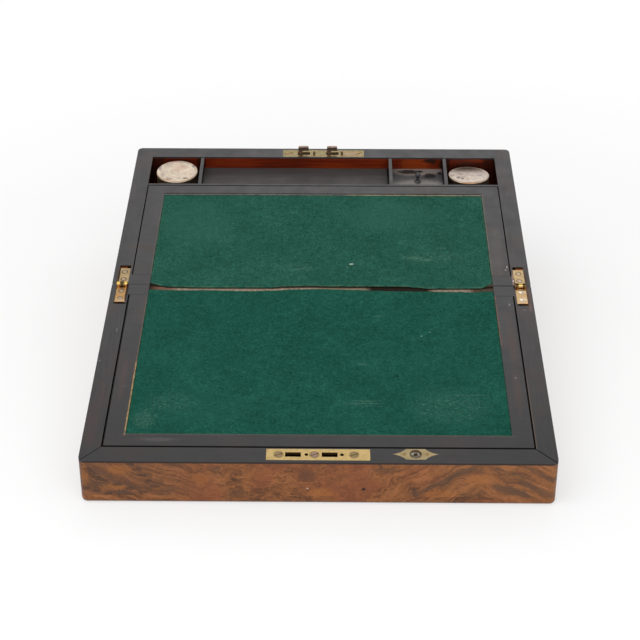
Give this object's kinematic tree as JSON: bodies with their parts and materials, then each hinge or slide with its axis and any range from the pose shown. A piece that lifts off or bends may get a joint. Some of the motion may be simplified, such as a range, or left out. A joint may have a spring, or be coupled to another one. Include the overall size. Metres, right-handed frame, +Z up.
{
  "type": "writing slope",
  "caption": "Folding writing slope shown open: walnut box in two hinged halves with baize writing flaps, inkwells, pen tray and a hooked lock.",
  "frame": {"origin": "on the table under the middle of the hinge line", "axes": "X to the right along the hinge line, Y away from the writer, Z up; the lid lies at negative Y and the base at positive Y"},
  "size_m": [0.35, 0.414, 0.1162],
  "materials": {
    "walnut_veneer": "burr walnut veneer, French polished",
    "mahogany": "polished mahogany",
    "ebonised_wood": "ebonised hardwood, worn satin",
    "green_baize": "wool baize",
    "lacquered_brass": "lacquered, tarnished",
    "pale_brass": "rubbed and lightly tarnished",
    "blackened_steel": "darkened steel",
    "clear_glass": "moulded glass"
  },
  "bodies": {
    "base": {"base_bottom_board": "walnut_veneer", "base_back_wall": "walnut_veneer", "base_left_wall": "walnut_veneer", "base_right_wall": "walnut_veneer", "base_hinge_wall": "walnut_veneer", "base_back_lining": "mahogany", "base_side_linings": "mahogany", "base_hinge_lining": "mahogany", "base_back_rim": "ebonised_wood", "base_side_rims": "ebonised_wood", "base_hinge_rail": "ebonised_wood", "base_rail_baize": "green_baize", "tray_front_board": "ebonised_wood", "left_inkwell_partition": "ebonised_wood", "pen_tray_partition": "ebonised_wood", "right_inkwell_partition": "ebonised_wood", "pen_tray_floor": "ebonised_wood", "stamp_well_floor": "mahogany", "inkwell_well_floors": "mahogany", "stamp_lid_ledges": "mahogany", "lock_plate": "lacquered_brass", "lock_plate_screws": "lacquered_brass", "lock_steady_pins": "lacquered_brass", "lock_case": "lacquered_brass", "keyhole_escutcheon": "lacquered_brass", "base_hinge_leaves": "lacquered_brass", "base_hinge_screws": "lacquered_brass", "hinge_pins": "blackened_steel"},
    "lid": {"lid_panel": "walnut_veneer", "lid_front_wall": "walnut_veneer", "lid_left_wall": "walnut_veneer", "lid_right_wall": "walnut_veneer", "lid_hinge_wall": "walnut_veneer", "lid_front_lining": "mahogany", "lid_side_linings": "mahogany", "lid_hinge_lining": "mahogany", "lid_front_rim": "ebonised_wood", "lid_side_rims": "ebonised_wood", "lid_hinge_rail": "ebonised_wood", "lid_rail_baize": "green_baize", "striking_plate": "lacquered_brass", "striking_plate_screws": "lacquered_brass", "flap_catch_plate": "lacquered_brass", "flap_catch_pins": "lacquered_brass", "lid_hinge_leaves": "lacquered_brass", "lid_hinge_screws": "lacquered_brass"},
    "base_flap": {"base_flap_board": "mahogany", "base_flap_border": "ebonised_wood", "base_flap_baize": "green_baize"},
    "lid_flap": {"lid_flap_board": "mahogany", "lid_flap_border": "ebonised_wood", "lid_flap_baize": "green_baize"},
    "lock_bolt": {"lock_hook_bolt": "blackened_steel"},
    "catch_turn": {"flap_catch_turn": "lacquered_brass"},
    "left_bottle": {"left_inkwell": "clear_glass"},
    "left_cap": {"left_inkwell_cap": "pale_brass"},
    "right_bottle": {"right_inkwell": "clear_glass"},
    "right_cap": {"right_inkwell_cap": "pale_brass"},
    "stamp_cover": {"stamp_lid": "ebonised_wood", "stamp_lid_knob": "ebonised_wood"}
  },
  "joints": [
    {"name": "lid_fold", "type": "hinge", "parent": "base", "child": "lid", "pos_m": [0, -0.00003, 0.07365], "axis": [-1, 0, 0], "range_deg": [0, 180]},
    {"name": "base_flap_lift", "type": "hinge", "parent": "base", "child": "base_flap", "pos_m": [0, 0.01344, 0.07587], "axis": [-1, 0, 0], "range_deg": [-95, 0]},
    {"name": "lid_flap_lift", "type": "hinge", "parent": "lid", "child": "lid_flap", "pos_m": [0, -0.01344, 0.07113], "axis": [1, 0, 0], "range_deg": [-95, 0]},
    {"name": "lock_bolt_shoot", "type": "slide", "parent": "base", "child": "lock_bolt", "axis": [1, 0, 0], "range_m": [0, 0.005]},
    {"name": "flap_catch_turn", "type": "hinge", "parent": "lid", "child": "catch_turn", "pos_m": [0.0713, -0.19777, 0.03761], "axis": [0, -0.1736, 0.9848], "range_deg": [0, 90]},
    {"name": "left_inkwell_lift", "type": "slide", "parent": "base", "child": "left_bottle", "axis": [0, 0, -1], "range_m": [-0.06, 0]},
    {"name": "right_inkwell_lift", "type": "slide", "parent": "base", "child": "right_bottle", "axis": [0, 0, -1], "range_m": [-0.06, 0]},
    {"name": "left_cap_lift", "type": "slide", "parent": "left_bottle", "child": "left_cap", "axis": [0, 0, -1], "range_m": [-0.02, 0]},
    {"name": "right_cap_lift", "type": "slide", "parent": "right_bottle", "child": "right_cap", "axis": [0, 0, -1], "range_m": [-0.02, 0]},
    {"name": "stamp_lid_lift", "type": "slide", "parent": "base", "child": "stamp_cover", "axis": [0, 0, -1], "range_m": [-0.04, 0]}
  ]
}
